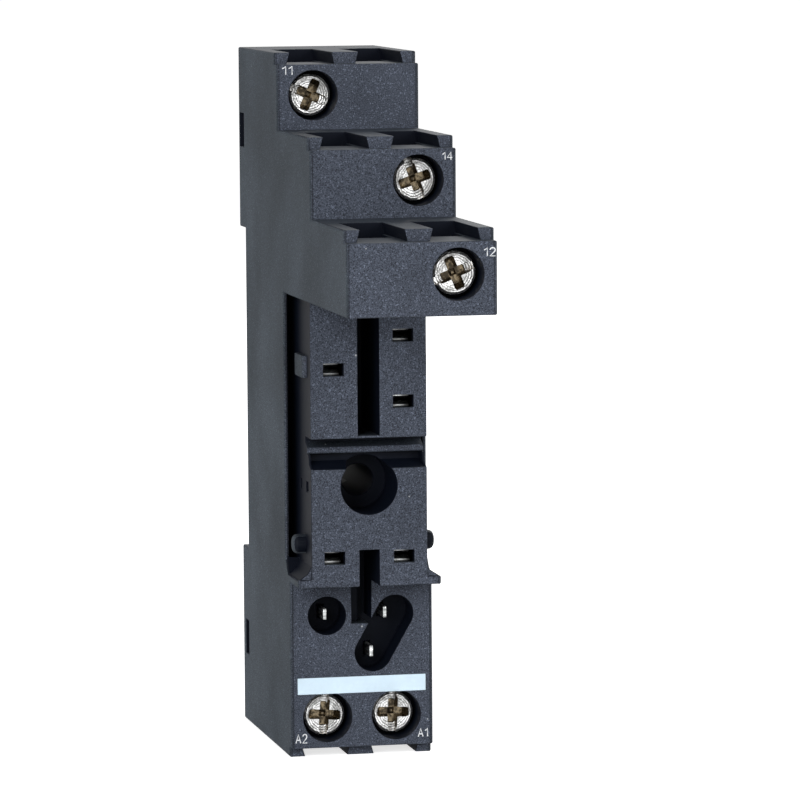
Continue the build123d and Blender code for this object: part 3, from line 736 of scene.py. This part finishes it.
# %% [markdown]
# ## Moulded and folded pieces
# A real edge is never a knife: the tool leaves a radius of about a tenth of a millimetre, and that
# radius catches the light. The frame's solids have true forms but sharp edges. So each piece is a
# copy of its solid: its loose triangles are merged, flat regions become single faces, the sharp
# outer edges get a bevel weight, and a Bevel modifier rounds them. Large flat faces are shaded flat,
# so that no rounded corner bends their light. The copy then stands for the node.

# %% Dressed copies
sharp_angle = math.radians(35)
merge_distance = 0.001 * MM
flat_angle = math.radians(0.4)
large_faces_first = 95
large_face = 0.5 * MM * MM
shortest_edge_share = 2.2
moulded_round, latch_round, clamp_round, strip_round = 0.08, 0.10, 0.10, 0.06


def weigh_edges(mesh, shortest):
    """Give the sharp outer edges of a mesh a bevel weight, and count them."""
    work = bmesh.new()
    work.from_mesh(mesh)
    weights = work.edges.layers.float.new("bevel_weight_edge")
    count = 0
    for edge in work.edges:
        if len(edge.link_faces) == 2 and edge.is_convex and edge.calc_length() > shortest:
            if edge.calc_face_angle() > sharp_angle:
                edge[weights] = 1.0
                count += 1
    work.to_mesh(mesh)
    work.free()
    return count


def dressed_copy(name, body, material, radius):
    """A merged copy of a node with its outer edges rounded, which takes the node's place."""
    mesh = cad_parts[name].data.copy()
    piece = bpy.data.objects.new(name + "_finished", mesh)
    bpy.context.scene.collection.objects.link(piece)
    mesh.materials.clear()
    mesh.materials.append(material)
    select_only(piece)
    bpy.ops.object.mode_set(mode="EDIT")
    bpy.ops.mesh.select_all(action="SELECT")
    bpy.ops.mesh.remove_doubles(threshold=merge_distance)
    bpy.ops.mesh.dissolve_limited(angle_limit=flat_angle)
    bpy.ops.object.mode_set(mode="OBJECT")
    count = 0
    if radius:
        count = weigh_edges(mesh, shortest_edge_share * radius * MM)
        bevel = piece.modifiers.new("edges", "BEVEL")
        bevel.limit_method = "WEIGHT"
        bevel.width = radius * MM
        bevel.segments = 2
        bevel.use_clamp_overlap = False
        bpy.ops.object.modifier_apply(modifier=bevel.name)
    bpy.ops.object.shade_smooth_by_angle(angle=sharp_angle)
    for face in mesh.polygons:
        if len(face.vertices) > 4 and face.area > large_face:
            face.use_smooth = False
    weighted = piece.modifiers.new("flat faces", "WEIGHTED_NORMAL")
    weighted.keep_sharp = True
    weighted.weight = large_faces_first
    bpy.ops.object.modifier_apply(modifier=weighted.name)
    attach(piece, body)
    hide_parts(name)
    print(piece.name, "rounded edges", count, "triangles", triangles(piece))
    return piece


dressed_copy("housing", "root", housing_plastic, moulded_round)
dressed_copy("rear_cover", "root", housing_plastic, moulded_round)
dressed_copy("rail_latch", "rail_latch", latch_plastic, latch_round)
dressed_copy("marker_strip", "root", marker_plastic, moulded_round)

# %% [markdown]
# ## The latch spring
# The spring is a wire bent to and fro. Its lower end rests on a stop of the cover, and its upper end is
# pressed down by the top of the latch's window. It belongs to the cover's body, so it stands still, and
# the latch cuts through it as it slides.

# %% Spring
spring = dressed_copy("rail_latch_spring", "root", spring_wire, 0)
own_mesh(spring)

# %% [markdown]
# ## Clamps and contact strips
# Each terminal has a folded steel cage that rises with its screw, and a punched and folded contact
# strip that stands still. They are finished by the same function, and only the cages ride on bodies
# of their own.

# %% Clamps and contact strips
for name in terminal_names:
    dressed_copy("clamp_cage_" + name, "cage_" + name, cage_plating, clamp_round)
    dressed_copy("contact_strip_" + name, "root", strip_tin, strip_round)

# %% [markdown]
# ## The terminal screws
# Each head is a low cylinder with a rounded rim, a through slot and a cross recess that narrows
# towards the bottom. It could be one boolean of plain boxes, but a driver recess has sloped walls,
# rounded corners and a small cone in the middle, and they are what glints. So the cutter of the
# cross is shaped first: a cube whose sides are extruded into arms and whose bottom is drawn in.
# The screw is modelled once, in millimetres, because Blender's tools work better on pieces that are
# not tiny. It stands on its shank with its top at zero, and is then copied, scaled and laid down.

# %% Screw sizes
screw_low, screw_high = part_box("terminal_screw_11")
head_radius = (screw_high.x - screw_low.x) / 2 / MM
screw_length = (screw_high.y - screw_low.y) / MM
head_height = 1.7
rim_round = 0.4
foot_round = 0.1
slot_width = 0.8
slot_depth = 0.95
wall_reach = 0.05
cross_span = 3.7
cross_width = 1.14
cross_depth = 1.15
core_radius = 1.22
crest_radius = 1.45
thread_pitch = 0.5
print("head radius", round(head_radius, 3), "mm, length", round(screw_length, 3), "mm")

# %% Cutter of the cross
def edit_select(piece, mode, chosen):
    """Select the faces or edges of a piece in edit mode for which chosen(element) is true."""
    bpy.ops.mesh.select_mode(type=mode)
    bpy.ops.mesh.select_all(action="DESELECT")
    work = bmesh.from_edit_mesh(piece.data)
    for element in work.faces if mode == "FACE" else work.edges:
        element.select_set(chosen(element))
    work.select_flush_mode()
    bmesh.update_edit_mesh(piece.data)


def middle(edge):
    """The middle of an edge."""
    return (edge.verts[0].co + edge.verts[1].co) / 2


def upright(edge):
    """Whether an edge runs mainly along Z."""
    run = edge.verts[0].co - edge.verts[1].co
    return abs(run.z) > 0.7 * run.length


def added(operator, **options):
    """The piece that a primitive operator adds, with nothing else selected."""
    bpy.ops.object.select_all(action="DESELECT")
    operator(**options)
    return bpy.context.object


top_spare = 0.3
arm_length = (cross_span - cross_width) / 2
bottom_share = 0.66
cone_rim, cone_height, cone_tip_share = 0.02, 0.19, 0.35
tip_round = 0.22
cross_place = (0, 0, (top_spare - cross_depth) / 2)
cross = added(bpy.ops.mesh.primitive_cube_add, size=1, location=cross_place)
cross.scale = (cross_width, cross_width, cross_depth + top_spare)
bpy.context.view_layer.update()
apply_place(cross)
bpy.ops.object.mode_set(mode="EDIT")
for direction in (Vector((1, 0, 0)), Vector((-1, 0, 0)), Vector((0, 1, 0)), Vector((0, -1, 0))):
    edit_select(
        cross, "FACE",
        lambda face: face.normal.dot(direction) > 0.9
        and face.calc_center_median().cross(direction).z ** 2 < (0.1 * cross_width) ** 2,
    )
    bpy.ops.mesh.extrude_region_move(TRANSFORM_OT_translate={"value": direction * arm_length})
edit_select(cross, "FACE", lambda face: face.normal.z < -0.9)
bpy.ops.transform.resize(value=(bottom_share, bottom_share, 1), center_override=(0, 0, 0))
edit_select(
    cross, "FACE",
    lambda face: face.normal.z < -0.9 and face.calc_center_median().xy.length < cross_width * 0.1,
)
bpy.ops.mesh.inset(thickness=cone_rim)
bpy.ops.mesh.extrude_region_move(TRANSFORM_OT_translate={"value": (0, 0, cone_height)})
bpy.ops.transform.resize(value=(cone_tip_share, cone_tip_share, 1), center_override=(0, 0, 0))
edit_select(
    cross, "EDGE",
    lambda edge: upright(edge) and middle(edge).xy.length > cross_span * 0.35,
)
bpy.ops.mesh.bevel(offset=tip_round, segments=4, affect="EDGES", clamp_overlap=True)
bpy.ops.mesh.select_all(action="SELECT")
bpy.ops.mesh.normals_make_consistent(inside=False)
bpy.ops.object.mode_set(mode="OBJECT")
cross.data.materials.append(recess_film)
print("cutter of the cross:", triangles(cross), "triangles")

# %% [markdown]
# The head itself is a cylinder whose upper rim gets a wide bevel and whose lower one a narrow bevel.
# The slot is cut first and the cross after it, and each cutter hands its own material to the walls
# that it leaves: plating in the slot, the brown film in the cross. A last narrow bevel softens the
# burr along all the cuts.

# %% Head, slot and recess
burr_width = 0.04
shortest_burr = 0.02


def cut_with(piece, cutter):
    """Take one closed mesh out of another and throw the cutter away."""
    boolean = piece.modifiers.new("cut", "BOOLEAN")
    boolean.operation = "DIFFERENCE"
    boolean.solver = "EXACT"
    boolean.material_mode = "TRANSFER"
    boolean.object = cutter
    select_only(piece)
    bpy.ops.object.modifier_apply(modifier=boolean.name)
    bpy.data.objects.remove(cutter)
    print("cut:", triangles(piece), "triangles left")


screw = added(
    bpy.ops.mesh.primitive_cylinder_add,
    vertices=96, radius=head_radius, depth=head_height, location=(0, 0, -head_height / 2),
)
apply_place(screw)
screw.data.materials.append(screw_plating)
bpy.ops.object.mode_set(mode="EDIT")
edit_select(screw, "EDGE", lambda edge: min(vertex.co.z for vertex in edge.verts) > -0.1 * head_height)
bpy.ops.mesh.bevel(offset=rim_round, segments=6, affect="EDGES", clamp_overlap=True)
edit_select(screw, "EDGE", lambda edge: max(vertex.co.z for vertex in edge.verts) < -0.9 * head_height)
bpy.ops.mesh.bevel(offset=foot_round, segments=2, affect="EDGES", clamp_overlap=True)
bpy.ops.object.mode_set(mode="OBJECT")
slot_cutter = added(bpy.ops.mesh.primitive_cube_add, size=1, location=(0, 0, 0))
slot_cutter.scale = (4 * head_radius, slot_width, 2 * slot_depth)
bpy.context.view_layer.update()
apply_place(slot_cutter)
slot_cutter.data.materials.append(screw_plating)
cut_with(screw, slot_cutter)
cut_with(screw, cross)

softened = weigh_edges(screw.data, shortest_burr)
burr = screw.modifiers.new("burr", "BEVEL")
burr.limit_method = "WEIGHT"
burr.width = burr_width
burr.segments = 2
burr.use_clamp_overlap = True
bpy.ops.object.modifier_apply(modifier=burr.name)
print("head:", triangles(screw), "triangles,", softened, "softened edges")

# %% [markdown]
# The thread is a short zigzag turned about the axis by a Screw modifier: one turn of the profile
# rises by one pitch, so each turn meets the next and the tube stays closed once its ends are filled.

# %% Thread
steps_a_turn = 32
weld_distance = 0.002
turns = int((screw_length - head_height) / thread_pitch)
profile = bpy.data.meshes.new("thread")
profile.from_pydata(
    [
        (core_radius, 0, -screw_length),
        (crest_radius, 0, thread_pitch / 2 - screw_length),
        (core_radius, 0, thread_pitch - screw_length),
    ],
    [(0, 1), (1, 2)], [],
)
thread = bpy.data.objects.new("thread", profile)
bpy.context.scene.collection.objects.link(thread)
select_only(thread)
winding = thread.modifiers.new("winding", "SCREW")
winding.angle = 2 * math.pi
winding.screw_offset = thread_pitch
winding.iterations = turns - 1
winding.steps = steps_a_turn
winding.render_steps = steps_a_turn
bpy.ops.object.modifier_apply(modifier=winding.name)
bpy.ops.object.mode_set(mode="EDIT")
bpy.ops.mesh.select_all(action="SELECT")
bpy.ops.mesh.remove_doubles(threshold=weld_distance)
bpy.ops.mesh.select_mode(type="EDGE")
bpy.ops.mesh.select_all(action="DESELECT")
bpy.ops.mesh.select_non_manifold()
bpy.ops.mesh.edge_face_add()
bpy.ops.mesh.select_all(action="SELECT")
bpy.ops.mesh.normals_make_consistent(inside=False)
bpy.ops.object.mode_set(mode="OBJECT")
neck_length = head_height * 0.4 + screw_length - head_height - (turns - 1) * thread_pitch
neck = added(
    bpy.ops.mesh.primitive_cylinder_add,
    vertices=48, radius=core_radius, depth=neck_length,
    location=(0, 0, -head_height * 0.8 - neck_length / 2),
)
apply_place(neck)
print("thread:", turns, "turns,", triangles(thread), "triangles")

# %% [markdown]
# Head, thread and neck are joined into one piece. The ridges need a UV map that is zero in the middle
# of the head and one at its rim, and the upper walls of the slot get the film too. Smoothing by angle
# keeps the cut edges crisp. Then each terminal gets a copy of the screw, turned about its axis to the
# angle at which the driver left it, laid down and put on its seat.

# %% Ridges, normals and placing
smooth_angle = math.radians(30)
for plain in (thread, neck):
    plain.data.materials.append(screw_plating)
select_only(screw, thread, neck)
bpy.ops.object.join()
turned = screw.data.uv_layers.new(name="turned")
screw.data.uv_layers.active = turned
for loop in screw.data.loops:
    turned.data[loop.index].uv = screw.data.vertices[loop.vertex_index].co.xy / head_radius
film_slot = list(screw.data.materials).index(recess_film)
for face in screw.data.polygons:
    on_wall = abs(abs(face.center.y) - slot_width / 2) < wall_reach and abs(face.normal.z) < 0.5
    if on_wall and -slot_depth < face.center.z < -wall_reach:
        face.material_index = film_slot
select_only(screw)
bpy.ops.object.shade_smooth_by_angle(angle=smooth_angle)
even = screw.modifiers.new("flat faces", "WEIGHTED_NORMAL")
even.keep_sharp = True
even.weight = large_faces_first
bpy.ops.object.modifier_apply(modifier=even.name)
filmed = sum(screw.data.materials[face.material_index] == recess_film for face in screw.data.polygons)
print("screw:", len(screw.data.polygons), "faces, of them", filmed, "with the brown film")

driver_angles = {"11": -24, "14": -71, "12": 22, "a1": 88, "a2": 86}
for name, angle in driver_angles.items():
    low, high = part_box("terminal_screw_" + name)
    piece = bpy.data.objects.new("screw_" + name + "_finished", screw.data.copy())
    bpy.context.scene.collection.objects.link(piece)
    seat = Vector(((low.x + high.x) / 2, low.y, (low.z + high.z) / 2))
    laid = Matrix.Rotation(math.radians(90), 4, "X") @ Matrix.Rotation(math.radians(angle), 4, "Z")
    piece.data.transform(Matrix.Translation(seat) @ laid @ Matrix.Scale(MM, 4))
    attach(piece, "screw_" + name)
    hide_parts("terminal_screw_" + name)
    print(piece.name, "at", [round(value / MM, 2) for value in seat], "triangles", triangles(piece))
bpy.data.objects.remove(screw)

# %% [markdown]
# ## The printed numbers
# The terminal numbers are pad-printed in white, a millimetre high, in thin strokes. A texture would
# blur at this size, and a text object brings a font of its own. So each figure is a few strokes,
# drawn as a curve with a round section, made a mesh, pressed almost flat and put on its face.
# The strokes are given in shares of the figure's height, and each number has the four edges of its
# place, in millimetres: left, right, low and high.

# %% Ink
ink_grain = 4000.0
worn_ink, full_ink = (0.34, 0.35, 0.37, 1), (0.70, 0.72, 0.74, 1)
ink_depth, ink_strength = 0.01, 0.3
ink, ink_tree = new_material("white ink")
ink_coords = add_node(ink_tree, "TexCoord").outputs["Object"]
ink_noise = noise(ink_tree, ink_coords, ink_grain, 2.0)
ink_colour = mixed_colours(ink_tree, ranged(ink_tree, ink_noise, 0.32, 0.5), worn_ink, full_ink)
ink_rough = ranged(ink_tree, ink_noise, 0.3, 0.7, 0.45, 0.6)
finish_surface(ink_tree, ink_colour, ink_rough, ink_noise, ink_depth, ink_strength)
print("ink ready")

# %% Strokes of the figures
figure_width = {"1": 0.36, "2": 0.62, "4": 0.68, "A": 0.70}
figure_strokes = {
    "1": [[(0, 0.74), (0.18, 0.82), (0.36, 1), (0.36, 0)]],
    "2": [[(0, 0.74), (0.10, 0.93), (0.31, 1), (0.52, 0.93), (0.60, 0.74), (0.50, 0.50), (0, 0),
           (0.62, 0)]],
    "4": [[(0.50, 0), (0.50, 1), (0, 0.30), (0.68, 0.30)]],
    "A": [[(0, 0), (0.35, 1), (0.70, 0)], [(0.12, 0.34), (0.58, 0.34)]],
}
figure_gap = 0.30
stroke_radius = 0.06
ink_height = 0.004
numbers = {
    "11": (-7.14, -5.96, 35.27, 36.28),
    "14": (6.24, 7.40, 26.90, 27.80),
    "12": (6.33, 7.61, 18.20, 19.15),
    "A2": (-7.29, -5.97, -35.83, -34.78),
    "A1": (6.08, 7.21, -35.67, -34.68),
}


def stroke_paths(label):
    """The strokes of a number, side by side from zero, and its whole width."""
    paths = []
    start = 0.0
    for figure in label:
        for stroke in figure_strokes[figure]:
            paths.append([(start + across, rise) for across, rise in stroke])
        start += figure_width[figure] + figure_gap
    return paths, start - figure_gap


for label, (left, right_end, low_edge, high_edge) in numbers.items():
    paths, width = stroke_paths(label)
    outline = bpy.data.curves.new(label, "CURVE")
    outline.dimensions = "3D"
    outline.bevel_depth = stroke_radius
    outline.bevel_resolution = 2
    outline.use_fill_caps = True
    across = (right_end - left - 2 * stroke_radius) / width
    rise = high_edge - low_edge - 2 * stroke_radius
    for path in paths:
        spline = outline.splines.new("POLY")
        spline.points.add(len(path) - 1)
        for point, (u, v) in zip(spline.points, path):
            point.co = (left + stroke_radius + across * u, 0, low_edge + stroke_radius + rise * v, 1)
    writing = bpy.data.objects.new("strokes_" + label, outline)
    bpy.context.scene.collection.objects.link(writing)
    bpy.context.view_layer.update()
    mesh = bpy.data.meshes.new_from_object(writing)
    bpy.data.objects.remove(writing)
    face_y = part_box("terminal_screw_" + label.lower())[0].y - head_recess
    pressed = Matrix.Diagonal((MM, MM * ink_height / stroke_radius, MM, 1))
    mesh.transform(Matrix.Translation((0, face_y, 0)) @ pressed)
    piece = bpy.data.objects.new("number_" + label, mesh)
    bpy.context.scene.collection.objects.link(piece)
    mesh.materials.clear()
    mesh.materials.append(ink)
    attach(piece, "root")
    print(piece.name, "on the face at y", round(face_y / MM, 2), "mm, triangles", triangles(piece))

# %% [markdown]
# ## Colour management
# The picture is judged as it is lit, so the view transform is the plain one.

# %% Finish
bpy.context.scene.view_settings.view_transform = "Standard"
